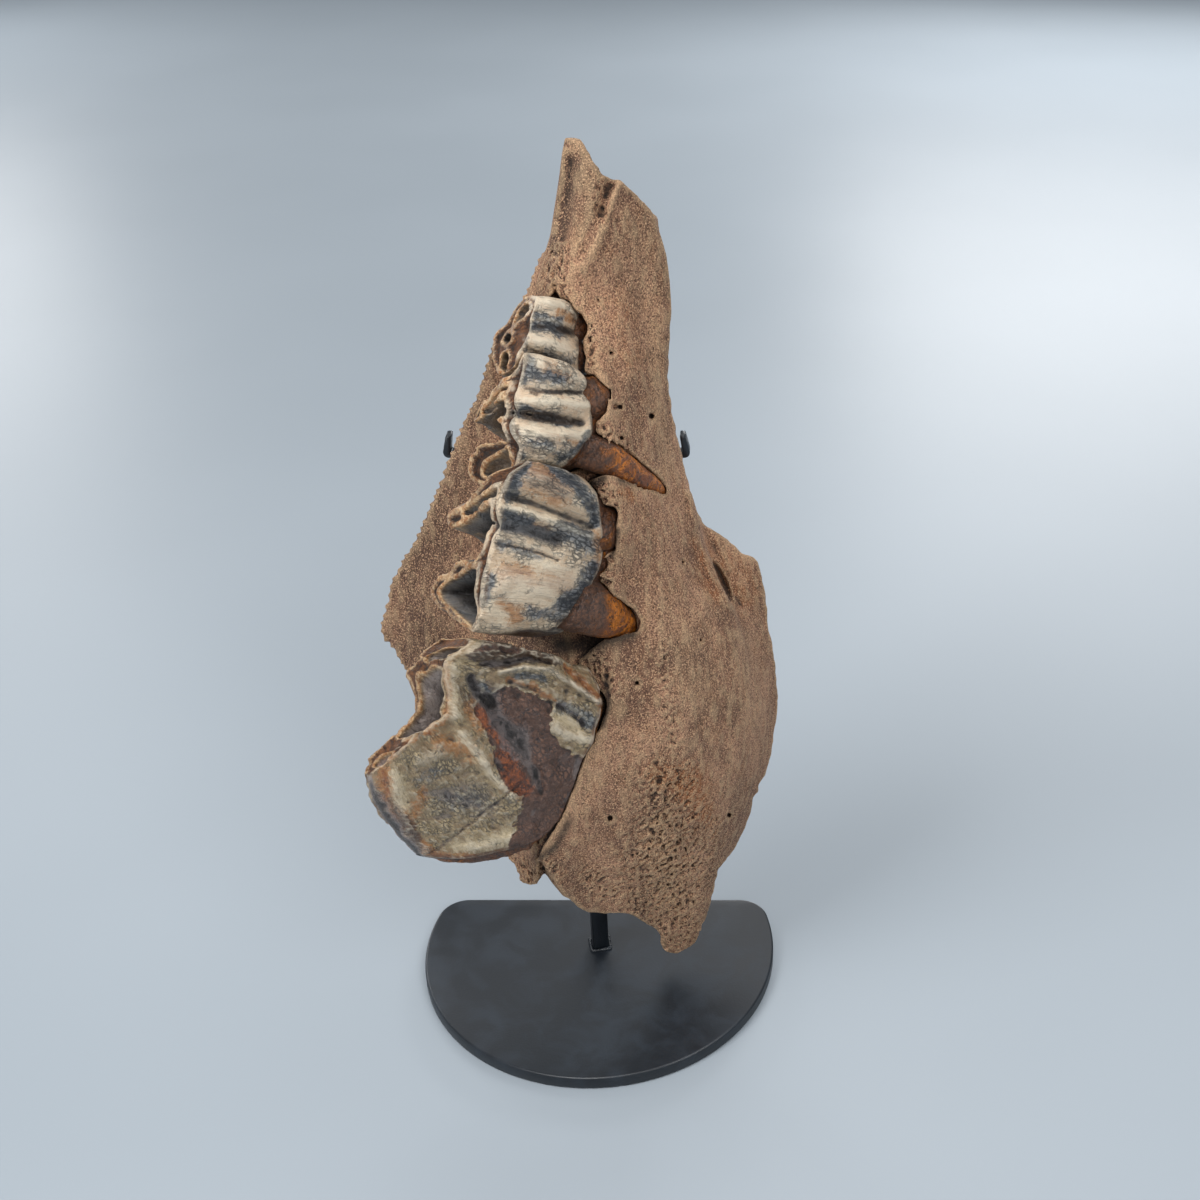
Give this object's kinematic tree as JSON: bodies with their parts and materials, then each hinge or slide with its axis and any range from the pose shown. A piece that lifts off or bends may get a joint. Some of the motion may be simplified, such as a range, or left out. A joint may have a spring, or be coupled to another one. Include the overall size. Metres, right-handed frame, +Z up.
{
  "type": "fossil maxilla on a display stand",
  "caption": "Upright fossil rhinoceros upper jaw with its cheek teeth, cradled by a square steel upright on a flat D-shaped base plate.",
  "frame": {"origin": "underside of the base plate, on the axis of the upright rod", "axes": "+Z up along the upright; +Y towards the straight back edge of the plate, so the teeth and the outer face of the bone look towards -Y"},
  "size_m": [0.13, 0.105, 0.3109],
  "materials": {
    "base_plate": "satin",
    "upright": "satin",
    "bone": "matte",
    "worn_enamel": "satin",
    "enamel": "satin",
    "unworn_enamel": "satin"
  },
  "bodies": {
    "root": {"base_plate": "base_plate", "upright": "upright", "maxilla_bone": "bone", "premolar_4": "worn_enamel", "molar_1": "worn_enamel", "molar_2": "enamel", "molar_3": "unworn_enamel"}
  },
  "joints": []
}
